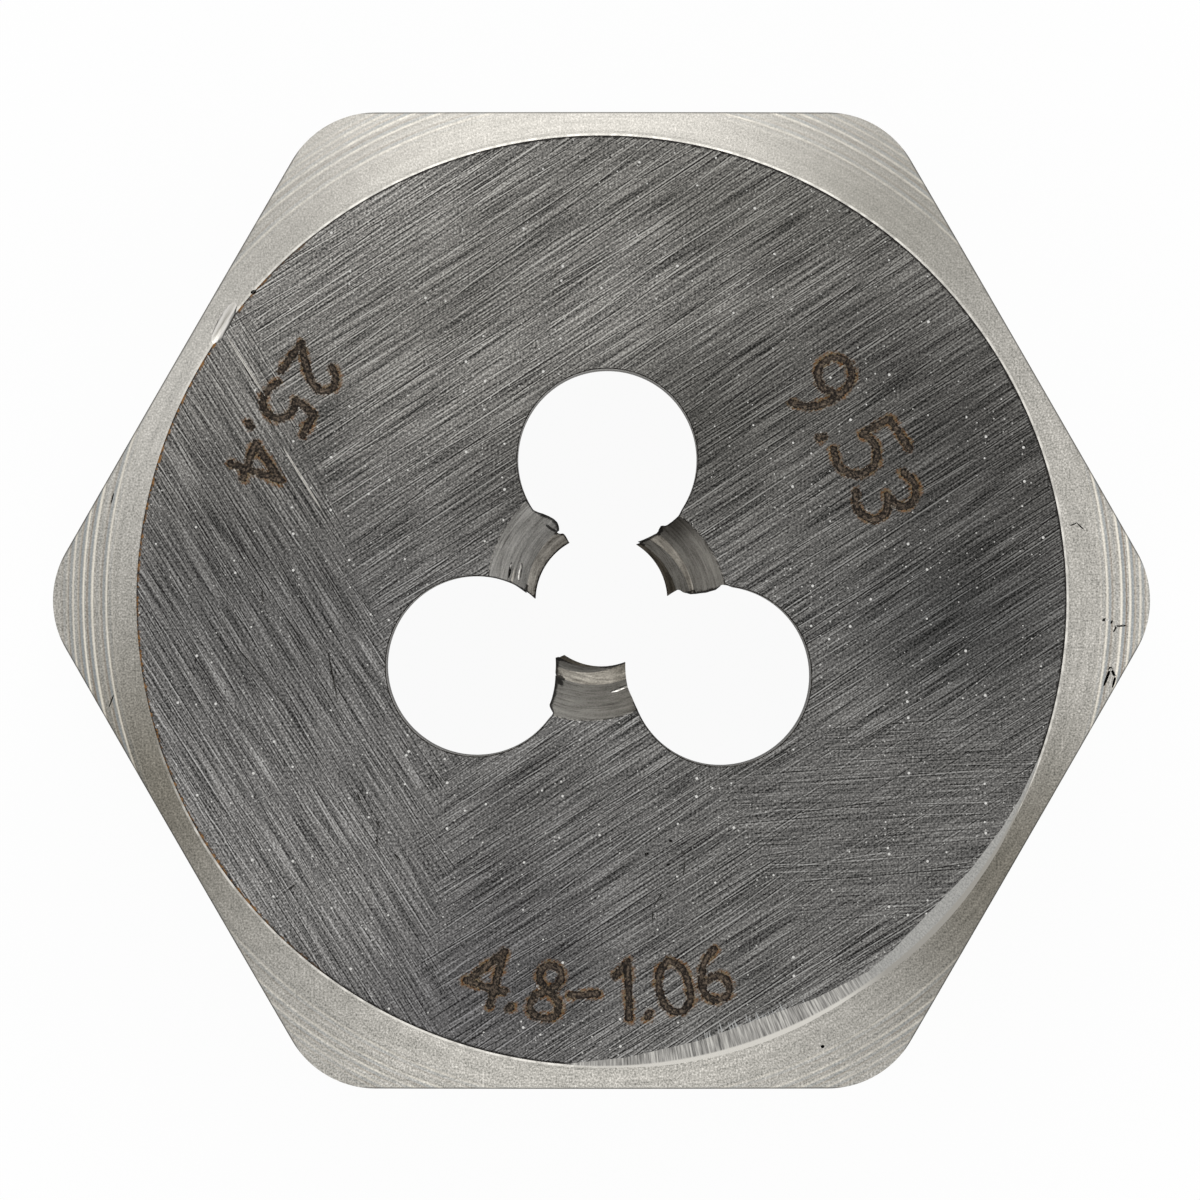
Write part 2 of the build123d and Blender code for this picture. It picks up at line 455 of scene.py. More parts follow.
# Trenches: place of the middle, angle, length, width, depth, and how shallow their sides
# are: at 0 they drop steeply, and at 1 they are a flat dish, whose cutter stands as far above
# the surface as lift says. Past the rim a trench leans outward with the cone, wholly so from
# lean_width on
lift = 0.7
lean_width = 0.15
trenches = [
    (-9.84, 7.27, 65, 1.25, 0.42, 0.07, 0.9),
    (-9.25, 6.11, -57.5, 1.9, 0.065, 0.01, 0.5),
    (-7.78, 3.17, -58.5, 1.9, 0.06, 0.008, 0.5),
    (-9.05, 8.02, 20, 0.15, 0.1, 0.12, 0.0),
    (13.15, -2.0, 67, 0.5, 0.085, 0.12, 0.0),
    (13.24, -1.78, 0, 0.13, 0.12, 0.12, 0.0),
    (13.31, -1.88, -58, 0.3, 0.08, 0.13, 0.0),
    (13.34, -2.1, 73, 0.36, 0.08, 0.13, 0.0),
    (13.25, -2.07, 80, 0.28, 0.09, 0.02, 0.5),
    (13.07, -0.5, 20, 0.12, 0.07, 0.09, 0.0),
    (13.16, -0.5, 0, 0.14, 0.08, 0.015, 0.6),
    (13.27, -0.56, 60, 0.11, 0.06, 0.09, 0.0),
    (13.5, -0.66, 3, 0.36, 0.055, 0.09, 0.0),
    (13.36, -0.74, 60, 0.2, 0.05, 0.08, 0.0),
    (12.27, 1.98, 22, 0.22, 0.04, 0.07, 0.0),
    (12.45, 1.93, -38, 0.26, 0.04, 0.07, 0.0),
    (-12.72, 2.66, 75, 0.3, 0.04, 0.08, 0.0),
    (-12.75, -2.62, 65, 0.38, 0.04, 0.08, 0.0),
    (-6.98, -1.99, -79, 1.4, 0.045, 0.08, 0.0),
    (-8.89, -1.92, -50.6, 2.2, 0.035, 0.06, 0.0),
    (-8.81, 0.08, -86, 0.4, 0.05, 0.09, 0.0),
    (-6.3, -5.13, -70, 0.26, 0.05, 0.09, 0.0),
    (-5.81, -5.81, -62, 0.22, 0.05, 0.09, 0.0),
    (-5.83, -6.28, -85, 0.28, 0.05, 0.09, 0.0),
    (-5.31, -6.67, -50, 0.24, 0.05, 0.09, 0.0),
    (-8.05, -7.45, 35, 0.3, 0.04, 0.08, 0.0),
    (5.75, -11.6, 10, 0.1, 0.1, 0.15, 0.0),
    (2.12, -6.57, -64, 0.2, 0.035, 0.06, 0.0),
    (2.15, -6.94, 83, 0.46, 0.035, 0.06, 0.0),
    (1.88, -7.36, 31, 0.46, 0.03, 0.06, 0.0),
    (1.49, -7.74, 58, 0.42, 0.035, 0.06, 0.0),
    (1.33, -8.18, 90, 0.36, 0.035, 0.06, 0.0),
    (1.17, -6.59, 30, 0.1, 0.08, 0.1, 0.0),
    (1.73, -6.87, 30, 0.09, 0.06, 0.1, 0.0),
    (1.8, -6.25, 0, 0.09, 0.07, 0.1, 0.0),
]
knocks = bmesh.new()
for x, y, angle, length, width, depth, shallow in trenches:
    spread = 0.5 / sqrt(1 - (lift * shallow) ** 2)
    deep = depth / (1 - lift * shallow)
    dent = bmesh.ops.create_icosphere(knocks, subdivisions=3, radius=spread)["verts"]
    bmesh.ops.scale(knocks, verts=dent, vec=(length, width, deep / spread))
    bmesh.ops.rotate(knocks, verts=dent, matrix=Matrix.Rotation(radians(angle), 3, "Z"))
    past_rim = max(0, hypot(x, y) - face_radius)
    lean = radians(30) * min(1, past_rim / lean_width)
    bmesh.ops.rotate(knocks, verts=dent, matrix=Matrix.Rotation(lean, 3, Vector((-y, x, 0))))
    surface = thickness - past_rim * cone_slope
    bmesh.ops.translate(knocks, verts=dent, vec=(x, y, surface + deep * lift * shallow))

# Chips low in the lead-in, at the right of the bottom land and at the foot of the left one:
# sizes, angle and place of the middle
chips = [((0.62, 0.16, 0.2), 20, (0.51, -2.29, 8.32)), ((0.5, 0.16, 0.2), 82, (-2.12, 0.74, 8.13)),
         ((0.45, 0.08, 0.3), 80, (-2.38, 0.79, 8.59))]
for sizes, angle, at in chips:
    chip = bmesh.ops.create_icosphere(knocks, subdivisions=2, radius=0.5)["verts"]
    bmesh.ops.scale(knocks, verts=chip, vec=sizes)
    bmesh.ops.rotate(knocks, verts=chip, matrix=Matrix.Rotation(radians(angle), 3, "Z"))
    bmesh.ops.translate(knocks, verts=chip, vec=at)
machine(die, mark(knocks, "bruised_steel"))

# Steel worn at the rim: fine strokes across it where it is widest, and smooth and whitish
# further round
tree, place = start_steel("worn_steel")
level = add(tree, "VectorMath", place, (1, 1, 0), operation="MULTIPLY")
radius = add(tree, "VectorMath", level, operation="LENGTH")
# Strokes lie about a twentieth of a millimetre apart round the rim, and each is two thirds of
# a millimetre long
strokes_around = 230.0
strokes_out = 1.5
track = add(tree, "Math", radius, strokes_out, operation="MULTIPLY")
stroke = ring_noise(tree, level, strokes_around, track, 2.0, 0.65)
grain = streaks(tree, place, 0, 0.05, 0.05, 3, 1.0)
stroked = add(tree, "ValToRGB", stroke, stops=((0.3, "#5b5a58"), (0.5, "#969490"), (0.68, "#c2c0ba")))
smooth = add(tree, "ValToRGB", grain, stops=((0.2, "#868684"), (0.8, "#aeada9")))
further = add(tree, "SeparateXYZ", level, output="X")
further = add(tree, "MapRange", further, 6.3, 7.4, 0.0, 0.85)
tone = add(tree, "Mix", further, stroked, smooth, data_type="RGBA")
# A painted highlight lies along the edge of the rim, pale at the left and grey further round
rim_edge_highlight = add(tree, "Mix", further, linear("#c9c6bf"), linear("#8b8882"), data_type="RGBA")
tone = add(tree, "Mix", add(tree, "MapRange", radius, 12.08, 12.12), tone, rim_edge_highlight, data_type="RGBA")
finish_steel(tree, tone, stroke, 0.36, 0.44)

# Bare steel where it was knocked, smooth, with light and shade painted by its slope: grey where
# it is flat, a painted highlight on shallow sides and a painted dark line of shade where they
# are steep. Past the rim, steep is told from the slope of the cone
tree, place = start_steel("bruised_steel")
torn = streaks(tree, place, 60, 0.5, 0.06, 6, 2.0, 0.7)
level = add(tree, "VectorMath", place, (1, 1, 0), operation="MULTIPLY")
lean = add(tree, "VectorMath", level, operation="LENGTH")
lean = add(tree, "MapRange", lean, face_radius, face_radius + lean_width, 0.0, cone_slope)
outward = add(tree, "VectorMath", level, operation="NORMALIZE")
skin = add(tree, "VectorMath", outward, {"Scale": lean}, operation="SCALE")
skin = add(tree, "VectorMath", skin, (0, 0, 1), operation="ADD")
skin = add(tree, "VectorMath", skin, operation="NORMALIZE")
upright = add(tree, "VectorMath", add(tree, "TexCoord", output="Normal"), skin, operation="DOT_PRODUCT")
upright = add(tree, "Math", torn, -0.13, upright, operation="MULTIPLY_ADD")
tone = add(tree, "ValToRGB", upright, stops=((0.5, "#262523"), (0.7, "#4f4e4b"), (0.8, "#cfccc7"),
                                             (0.9, "#b7b4ae"), (0.95, "#86837c"), (1.0, "#7b7872")))
finish_steel(tree, tone, torn, 0.32, 0.42)

# Numbers
# Plain sizes in millimetres, burnt into the face by hand with an electric etching pen: the
# thread's diameter and pitch, the width across flats and the thickness.
figures = {
    "0": [[(.35, 1), (.1, .85), (.03, .5), (.1, .15), (.35, 0), (.6, .15), (.67, .5), (.6, .85),
           (.35, 1)]],
    "1": [[(.1, .76), (.38, 1)], [(.38, 1), (.33, 0)]],
    "2": [[(.05, .74), (.16, .94), (.4, 1), (.6, .86), (.58, .62), (.34, .34), (.03, .02)],
          [(.03, .02), (.68, .0)]],
    "3": [[(.06, .88), (.32, 1), (.58, .86), (.56, .62), (.3, .53)],
          [(.3, .53), (.6, .44), (.66, .2), (.4, 0), (.05, .1)]],
    "4": [[(.56, 0), (.6, 1)], [(.6, 1), (.03, .32)], [(.03, .32), (.78, .3)]],
    "5": [[(.62, 1), (.14, .97)], [(.14, .97), (.1, .55)],
          [(.1, .55), (.35, .64), (.63, .48), (.62, .16), (.35, 0), (.04, .1)]],
    "6": [[(.6, .97), (.3, .85), (.08, .5), (.07, .2), (.3, 0), (.58, .1), (.62, .38), (.38, .54),
           (.1, .4)]],
    "8": [[(.35, .53), (.12, .68), (.14, .92), (.36, 1), (.58, .9), (.56, .68), (.35, .53), (.08, .36),
           (.1, .08), (.35, 0), (.62, .1), (.62, .36), (.35, .53)]],
    "9": [[(.6, .58), (.34, .44), (.1, .6), (.12, .88), (.36, 1), (.6, .86), (.62, .5), (.46, .15),
           (.16, .02)]],
    ".": [[(.12, .0), (.17, .07)]],
    "-": [[(.05, .42), (.58, .46)]],
}
# Room that a figure takes, in heights, and how much narrower than drawn it is written
usual_room = 0.82
room = {"1": 0.56, ".": 0.4}
slim = 0.92
# Text, angle of its middle and radius of its foot, height, and whether its head is inwards
marks = [("4.8-1.06", 270.3, 10.93, 1.42, True), ("25.4", 150.6, 10.28, 1.45, True),
         ("9.53", 31.0, 7.05, 1.8, False)]
hand = random.Random(24)
pen_line = []
pen_step = 0.015
for text, middle, foot_radius, height, inwards in marks:
    widths = [room.get(figure, usual_room) * height * slim for figure in text]
    along = -sum(widths) / 2
    for figure, width in zip(text, widths):
        lean = radians(hand.uniform(-5, 5))
        size = height * hand.uniform(0.94, 1.05)
        shift = hand.uniform(-0.05, 0.05)
        for stroke in figures[figure]:
            # A bend is rounded by cutting its corners three times
            for _ in range(3 if len(stroke) > 2 else 0):
                cut = [stroke[0]]
                for a, b in zip(stroke, stroke[1:]):
                    cut += [(a[0] * .75 + b[0] * .25, a[1] * .75 + b[1] * .25),
                            (a[0] * .25 + b[0] * .75, a[1] * .25 + b[1] * .75)]
                stroke = cut + [stroke[-1]]
            for a, b in zip(stroke, stroke[1:]):
                pieces = max(1, int(hypot(b[0] - a[0], b[1] - a[1]) * size / pen_step))
                for n in range(pieces + 1):
                    u = (a[0] + (b[0] - a[0]) * n / pieces) * size * slim
                    v = (a[1] + (b[1] - a[1]) * n / pieces) * size + shift
                    u, v = along + u * cos(lean) - v * sin(lean), u * sin(lean) + v * cos(lean)
                    if inwards:
                        angle = radians(middle) + u / (foot_radius - height / 2)
                        radius = foot_radius - v
                    else:
                        angle = radians(middle) - u / (foot_radius + height / 2)
                        radius = foot_radius + v
                    pen_line.append(Vector((radius * cos(angle), radius * sin(angle), 0)))
        along += width


def nearness(points):
    """Give a finder of the nearest of some points."""
    finder = KDTree(len(points))
    for n, point in enumerate(points):
        finder.insert(point, n)
    finder.balance()
    return finder


def divide(work, faces, cell, low=None, high=None):
    """Divide faces to a square grid, seen from above, within a box or all over."""
    low = low or [min(v.co[n] for f in faces for v in f.verts) for n in (0, 1)]
    high = high or [max(v.co[n] for f in faces for v in f.verts) for n in (0, 1)]
    inside = faces
    # The first round cuts the box free of the rest, and the second divides it
    for fine in (False, True):
        for axis in (0, 1):
            normal = Vector((axis == 0, axis == 1, 0))
            span = high[axis] - low[axis]
            count = int(span / cell) if fine else 1
            cuts = [low[axis] + span * n / count for n in range(fine, count + 1 - fine)]
            done = []
            rest = inside
            for cut in cuts:
                around = list({v for f in rest for v in f.verts}) + list({e for f in rest for e in f.edges})
                made = bmesh.ops.bisect_plane(work, geom=around + rest, dist=1e-6, plane_co=normal * cut,
                                              plane_no=normal)["geom"]
                rest = [g for g in made if isinstance(g, bmesh.types.BMFace)]
                done += [f for f in rest if f.calc_center_median()[axis] < cut]
                rest = [f for f in rest if f.calc_center_median()[axis] > cut]
            inside = done + rest
            if not fine:
                inside = [f for f in inside if low[axis] < f.calc_center_median()[axis] < high[axis]]
    return inside


work = bmesh.new()
work.from_mesh(die.data)
bmesh.ops.dissolve_degenerate(work, edges=work.edges, dist=1e-5)
finish = work.faces.layers.int["finish"]

# The face is divided finely where the pen went, and dips along its line. A number's points
# all lie within 40 degrees of its middle
pen_depth = 0.03
pen_width = 0.085
pen_cell = 0.045
margin = 0.3
pen_gap = work.verts.layers.float.new("pen_gap")
for vert in work.verts:
    vert[pen_gap] = 1.0
pen = nearness(pen_line)
for _, middle, *_ in marks:
    near = [p for p in pen_line if abs((degrees(atan2(p.y, p.x)) - middle + 180) % 360 - 180) < 40]
    face = [f for f in work.faces if f[finish] == finishes.index("ground_steel") and f.normal.z > 0]
    patch = divide(work, face, pen_cell, [min(p[n] for p in near) - margin for n in (0, 1)],
                   [max(p[n] for p in near) + margin for n in (0, 1)])
    for vert in {v for f in patch for v in f.verts}:
        gap = pen.find((vert.co.x, vert.co.y, 0))[2]
        vert[pen_gap] = min(1.0, gap)
        vert.co.z -= pen_depth * exp(-((gap / pen_width) ** 2))

# Cutting lands
# The three teeth between the clearance holes and the bore, with the mouth of the thread in
# them. The brink of each, where it falls to a hole or to the bore, carries a dark line of painted
# shade, wider where a burr stands.
land_reach = 3.5
land_foot = 6.6
steep = 0.15
beside = 0.02
brink_gap = work.verts.layers.float.new("brink_gap")
for vert in work.verts:
    vert[brink_gap] = 1.0
cut_finishes = [finishes.index(name) for name in ("tapped_steel", "bruised_steel")]
tapped = [f for f in work.faces if f[finish] in cut_finishes
          and f.calc_center_median().xy.length < land_reach and f.calc_center_median().z > land_foot]
teeth = [f for f in tapped if f.normal.z > steep]
walls = set()
for face in tapped:
    middle = face.calc_center_median().xy
    from_hole = min((middle - centre.xy).length for centre in hole_centres)
    on_wall = middle.length < crest_radius + beside or from_hole < hole_radius + beside
    if on_wall and face.normal.z <= steep:
        walls.add(face)
# The painted dark line of shade is wider on a burr, which stands in from the wall of its hole
brink_step = 0.02
burr_foot = 0.03
burr_full = 0.1
burr_spread = 1.2
tooth_cell = 0.04
brink_line = []
brink_burr = []
for edge in {e for f in teeth for e in f.edges}:
    if any(f in walls for f in edge.link_faces):
        a, b = (v.co for v in edge.verts)
        pieces = max(1, int((b - a).xy.length / brink_step))
        for n in range(pieces + 1):
            point = a.lerp(b, n / pieces)
            brink_line.append(Vector((point.x, point.y, 0)))
            stand = hole_radius - burr_foot - min((point - centre).xy.length for centre in hole_centres)
            brink_burr.append(min(1, max(0, stand / burr_full)))
brink = nearness(brink_line)
teeth = divide(work, teeth, tooth_cell)
for vert in {v for f in teeth for v in f.verts}:
    _, number, gap = brink.find((vert.co.x, vert.co.y, 0))
    vert[brink_gap] = gap / (1 + burr_spread * brink_burr[number])

# Drilled and tapped steel: brownish from cutting oil, with the lines of the cutters round it
tree, place = start_steel("tapped_steel")
level = add(tree, "VectorMath", place, (1, 1, 0), operation="MULTIPLY")
x, y, z = add(tree, "SeparateXYZ", place).node.outputs
radius = add(tree, "VectorMath", level, operation="LENGTH")
# A line lies about every eighth of a millimetre out, and every fifth of one down
track = add(tree, "Math", z, 5.0, operation="MULTIPLY")
track = add(tree, "Math", radius, 8.0, track, operation="MULTIPLY_ADD")
cut_line = ring_noise(tree, level, 2.5, track, 3.0, 0.65)
grime = add(tree, "TexNoise", place, 2.0, 3.0, 0.6)
grain = add(tree, "TexNoise", place, 22.0, 1.0, 0.6)
height = together(tree, (cut_line, grime, grain), (1.2, 0.4, 0.5))
tone = add(tree, "ValToRGB", height, stops=((0.2, "#7a7773"), (0.5, "#c4c2be"), (0.8, "#f1efeb")))
# Painted shade: the flanks of the thread, which face up, are painted duller than the lead-in;
# low in the thread the steel is darker, partly with oil and partly by painted shade; and painted
# shade darkens it towards the right, towards the bottom and at the upper end of the right land,
# so that the left land is lightest
upright = add(tree, "SeparateXYZ", add(tree, "TexCoord", output="Normal"), output="Z")
flank = add(tree, "MapRange", upright, 0.6, 0.8)
low_down = add(tree, "MapRange", z, 7.4, 6.6)
to_right = add(tree, "MapRange", x, -1.2, 1.2)
to_bottom = add(tree, "MapRange", y, 0.0, -1.5)
right_land = oval(tree, level, (1.9, 2.1), 1.1, 1.1)
for code, share in (("#d2cfca", flank), ("#8a8680", low_down), ("#d8d6d2", to_right),
                    ("#d0cfcc", to_bottom), ("#7c7a77", right_land)):
    tone = add(tree, "Mix", share, tone, linear(code), data_type="RGBA", blend_type="MULTIPLY")
fleck = add(tree, "TexNoise", place, 11.0, 2.0, 0.7)
# The mouth of the lead-in is ragged, bright and dark by turns
ragged = add(tree, "Math", fleck, -0.08, z, operation="MULTIPLY_ADD")
mouth = add(tree, "MapRange", ragged, thickness - 0.12, thickness - 0.06, 0.0, 0.8)
bright = add(tree, "ValToRGB", fleck, stops=((0.5, "#1f1c1a"), (0.54, "#cfccc6")))
tone = add(tree, "Mix", mouth, tone, bright, data_type="RGBA")
# Painted shade: the lips of the holes on the face, and the brinks of the lands, are painted
# nearly black
nearest = None
for centre in hole_centres:
    gap = add(tree, "VectorMath", level, centre, operation="DISTANCE")
    nearest = gap if nearest is None else add(tree, "Math", nearest, gap, operation="MINIMUM")
lip = add(tree, "MapRange", nearest, hole_radius + 0.07, hole_radius + 0.05)
at_face = add(tree, "MapRange", z, thickness - 0.06, thickness - 0.04)
lip = add(tree, "Math", lip, at_face, operation="MULTIPLY")
edge = add(tree, "Attribute", output="Fac", attribute_name="brink_gap")
edge = add(tree, "Math", fleck, 0.06, edge, operation="MULTIPLY_ADD")
edge = add(tree, "MapRange", edge, 0.075, 0.055)
dark = add(tree, "Math", add(tree, "Math", lip, edge, operation="MAXIMUM"), 0.88, operation="MULTIPLY")
tone = add(tree, "Mix", dark, tone, linear("#181513"), data_type="RGBA")
finish_steel(tree, tone, height, 0.5, 0.62, deep=0.02)

# Ground face
# The face is ground flat by hand on a fine wheel, in one long pass and two short ones that
# cross it, and the hardened steel keeps every hair of it. Bright and dark specks lie all over.
tree, place = start_steel("ground_steel")
level = add(tree, "VectorMath", place, (1, 1, 0), operation="MULTIPLY")
x, y, _ = add(tree, "SeparateXYZ", level).node.outputs


def hairs(tree, place, angle, length, apart, width, seed):
    """Straight single scratches of random place and strength, one to each cell of length by
    apart mm: from -1 for the darkest to 1 for the brightest, and 0 between them."""
    grid = add(tree, "Mapping", place, (seed, seed, 0), (0, 0, radians(angle)), (length, apart, 1),
               vector_type="TEXTURE")
    row = add(tree, "SeparateXYZ", add(tree, "VectorMath", grid, operation="FLOOR"), output="Y")
    slip = add(tree, "TexWhiteNoise", row, noise_dimensions="1D")
    slip = add(tree, "Math", slip, 9.0, operation="MULTIPLY")
    grid = add(tree, "VectorMath", grid, add(tree, "CombineXYZ", slip), operation="ADD")
    cell = add(tree, "VectorMath", grid, operation="FLOOR")
    luck = add(tree, "TexWhiteNoise", cell, output="Color", noise_dimensions="2D")
    offset, strength, tilt = add(tree, "SeparateXYZ", luck).node.outputs
    u, v, _ = add(tree, "SeparateXYZ", add(tree, "VectorMath", grid, operation="FRACTION")).node.outputs
    u = add(tree, "Math", u, 0.5, operation="SUBTRACT")
    tilt = add(tree, "Math", add(tree, "Math", tilt, 0.5, operation="SUBTRACT"), u, operation="MULTIPLY")
    middle = add(tree, "Math", tilt, 0.5, 0.25, operation="MULTIPLY_ADD")
    middle = add(tree, "Math", offset, 0.5, middle, operation="MULTIPLY_ADD")
    gap = add(tree, "Math", add(tree, "Math", v, middle, operation="SUBTRACT"), operation="ABSOLUTE")
    # Each scratch threw up a lip on both its sides
    line = add(tree, "MapRange", gap, width / apart / 2, 0.0, 0.0, 1.4)
    lip = add(tree, "MapRange", gap, 1.2 * width / apart, 0.6 * width / apart, 0.0, 0.4)
    line = add(tree, "Math", line, lip, operation="SUBTRACT")
    ends = add(tree, "MapRange", add(tree, "Math", u, operation="ABSOLUTE"), 0.5, 0.25)
    strength = add(tree, "Math", strength, 2.0, -1.0, operation="MULTIPLY_ADD")
    strength = add(tree, "Math", strength, 3.0, operation="POWER")
    line = add(tree, "Math", line, ends, operation="MULTIPLY")
    return add(tree, "Math", line, strength, operation="MULTIPLY")


def grinding_pass(tree, place, angle, seed):
    """One pass of the wheel: its fine lines and broad bands, and the single hairs over them."""
    lines = streaks(tree, place, angle, 2.6, 0.047, seed, 2.0, 0.65)
    bands = streaks(tree, place, angle - 1, 7.0, 0.3, seed + 9, 2.0)
    long = hairs(tree, place, angle + 0.7, 7.0, 0.15, 0.05, seed + 3)
    short = hairs(tree, place, angle - 3, 3.0, 0.09, 0.04, seed + 5)
    crossing = hairs(tree, place, angle + 5, 4.0, 0.22, 0.045, seed + 6)
    drawn = add(tree, "CombineXYZ", long, short, crossing)
    return lines, bands, add(tree, "VectorMath", drawn, (0.85, 0.75, 0.7), operation="DOT_PRODUCT")


# Where the second passes ran: down to the right on the left of the face, level at lower right
wander = streaks(tree, place, 0, 1.1, 1.1, 0, 3.0)
left_edge = add(tree, "Math", y, -4.5, operation="MAXIMUM")
left_edge = add(tree, "Math", left_edge, 0.42, x, operation="MULTIPLY_ADD")
left_edge = add(tree, "Math", wander, 2.4, left_edge, operation="MULTIPLY_ADD")
left_share = add(tree, "MapRange", left_edge, -5.6, -4.2, 1.0, 0.0, interpolation_type="SMOOTHSTEP")
weaker = add(tree, "MapRange", y, -8.0, -4.0, 0.85, 1.0)
left_share = add(tree, "Math", left_share, weaker, operation="MULTIPLY")
flat_gap = add(tree, "Mapping", level, (8.2, -5.8, 0), (0, 0, 0), (4.7, 2.7, 1), vector_type="TEXTURE")
flat_gap = add(tree, "VectorMath", flat_gap, operation="LENGTH")
flat_gap = add(tree, "Math", flat_gap, wander, operation="ADD")
flat_share = add(tree, "MapRange", flat_gap, 1.2, 1.7, 0.6, 0.0, interpolation_type="SMOOTHSTEP")
second_share = add(tree, "Math", left_share, flat_share, operation="ADD")

first_lines, first_bands, first_hairs = grinding_pass(tree, place, 33, 0)
on_right = add(tree, "Math", x, 1.0, operation="GREATER_THAN")
turned = add(tree, "VectorRotate", level, {"Angle": radians(62)}, rotation_type="Z_AXIS")
turned = add(tree, "Mix", on_right, turned, level, data_type="VECTOR")
second_lines, second_bands, second_hairs = grinding_pass(tree, turned, 4, 17)
lines = add(tree, "Mix", second_share, first_lines, second_lines, data_type="FLOAT")
bands = add(tree, "Mix", second_share, first_bands, second_bands, data_type="FLOAT")
grain = streaks(tree, place, 0, 0.055, 0.055, 31, 1.0)
height = together(tree, (lines, bands, grain), (1.7, 0.2, 1.2))
weaker = add(tree, "MapRange", second_share, 0.0, 1.0, 1.0, 0.2)
stronger = add(tree, "MapRange", second_share, 0.0, 0.5, 0.0, 0.7)
drawn = add(tree, "Math", first_hairs, weaker, operation="MULTIPLY")
drawn = add(tree, "Math", second_hairs, stronger, drawn, operation="MULTIPLY_ADD")
drawn = add(tree, "Math", height, drawn, operation="ADD")
# The face's grey is partly the steel's own and partly painted shade, for the dark above that its polish
# would mirror
tone = add(tree, "ValToRGB", drawn, stops=((0.05, "#272625"), (0.3, "#605f5c"), (0.5, "#7f7d7a"),
                                           (0.7, "#9a9792"), (1.0, "#d0cec9")))

# Painted shade darkens some areas of the face, and more towards the right and low down,
# where it is a little bluer: colour, middle, half length, half width and angle of each
painted_shade_areas = [("#b0b0b1", (9.5, 4.4), 9.5, 7.5, -38), ("#dededd", (3.7, 10.3), 7.0, 2.3, -9),
          ("#c6c6c6", (-9.2, 2.0), 10.0, 8.0, -72), ("#dadad9", (-3.9, 8.2), 3.9, 8.0, -46),
          ("#cbcbce", (-3.3, -10.3), 4.8, 7.8, -45), ("#c9cacb", (9.2, -0.8), 3.7, 4.2, 78),
          ("#dfdfdf", (-3.0, -5.3), 5.6, 3.8, 2), ("#a0a09f", (0.2, 3.8), 3.9, 8.0, -70)]
shares = [(code, oval(tree, level, *where)) for code, *where in painted_shade_areas]
shares += [("#e0e1e4", add(tree, "MapRange", y, 5.0, 0.0)),
           ("#dcdcdb", add(tree, "MapRange", x, -4.0, 3.0))]
for code, share in shares:
    tone = add(tree, "Mix", share, tone, linear(code), data_type="RGBA", blend_type="MULTIPLY")

# Bright and dark specks, a twentieth of a millimetre across, and thicker in some places: how
# many to the millimetre, shift, colour and size
cluster = streaks(tree, place, 0, 2.5, 2.5, 12)
for count, shift, code, most in ((2.0, 0, "#d4d3cf", 0.07), (4.2, 5, "#bdbcb8", 0.09),
                                 (2.6, 9, "#1d1c1b", 0.07)):
    spots = add(tree, "VectorMath", place, (shift, shift, 0), operation="ADD")
    spots = add(tree, "TexVoronoi", spots, count, voronoi_dimensions="2D").node.outputs
    luck = add(tree, "SeparateXYZ", spots[1], output="X")
    luck = add(tree, "Math", cluster, 0.8, luck, operation="MULTIPLY_ADD")
    size = add(tree, "MapRange", luck, 1.09, 1.4, 0.0, most)
    spot = add(tree, "Math", spots[0], size, operation="LESS_THAN")
    spot = add(tree, "Math", spot, 0.85, operation="MULTIPLY")
    tone = add(tree, "Mix", spot, tone, linear(code), data_type="RGBA")

# Strokes run in from the worn part of the rim. The rim itself carries a broken dark line of
# dirt, gone to rust on the left
radius = add(tree, "VectorMath", level, operation="LENGTH")
spatter = add(tree, "TexNoise", place, 7.7, 3.0, 0.7)
track = add(tree, "Math", radius, strokes_out, operation="MULTIPLY")
stroke = ring_noise(tree, level, strokes_around, track, 2.0, 0.65)
start_face = add(tree, "SeparateXYZ", place, output="Z")
start_face = add(tree, "Math", start_face, thickness / 2, operation="GREATER_THAN")
worn = add(tree, "Math", oval(tree, level, (3.85, -11.3), 3.6, 0.85, 19), start_face, operation="MULTIPLY")
strong = add(tree, "Math", worn, 0.28, stroke, operation="MULTIPLY_ADD")
strong = add(tree, "MapRange", strong, 0.7, 0.76)
strong = add(tree, "Math", strong, add(tree, "MapRange", worn, 0.0, 0.3, 0.0, 0.8), operation="MULTIPLY")
tone = add(tree, "Mix", strong, tone, linear("#a7a8a7"), data_type="RGBA")
rust = add(tree, "MapRange", spatter, 0.45, 0.6)
rust = add(tree, "Math", add(tree, "MapRange", x, -7.0, -9.5), rust, operation="MULTIPLY")
rust = add(tree, "Mix", rust, linear("#201e1d"), linear("#7f5a30"), data_type="RGBA")
rim = add(tree, "Math", spatter, 0.14, radius, operation="MULTIPLY_ADD")
rim = add(tree, "MapRange", rim, face_radius - 0.045, face_radius - 0.015, 0.0, 0.9)
tone = add(tree, "Mix", rim, tone, rust, data_type="RGBA")

# Etching: the pen burnt a mottled brown track with a broken black line on each side, and
# tinted the steel gold to orange where its heat ran out to one side or the other
crumb = add(tree, "TexNoise", place, 17.0, 1.0, 0.6)
sway = add(tree, "TexNoise", place, 2.6, 1.0, 0.6)
gap = add(tree, "Attribute", output="Fac", attribute_name="pen_gap")
gap = add(tree, "CombineXYZ", gap, spatter, crumb)
gap = add(tree, "VectorMath", gap, (1.0, 0.14, 0.13), operation="DOT_PRODUCT")
heat = add(tree, "MapRange", sway, 0.4, 0.65, 0.03, -0.05)
heat = add(tree, "Math", heat, gap, operation="ADD")
tint = add(tree, "MapRange", heat, 0.3, 0.22, 0.0, 0.7)
gold = add(tree, "MapRange", crumb, 0.4, 0.6)
gold = add(tree, "Mix", gold, linear("#6f471e"), linear("#6b5c40"), data_type="RGBA")
tone = add(tree, "Mix", tint, tone, gold, data_type="RGBA")
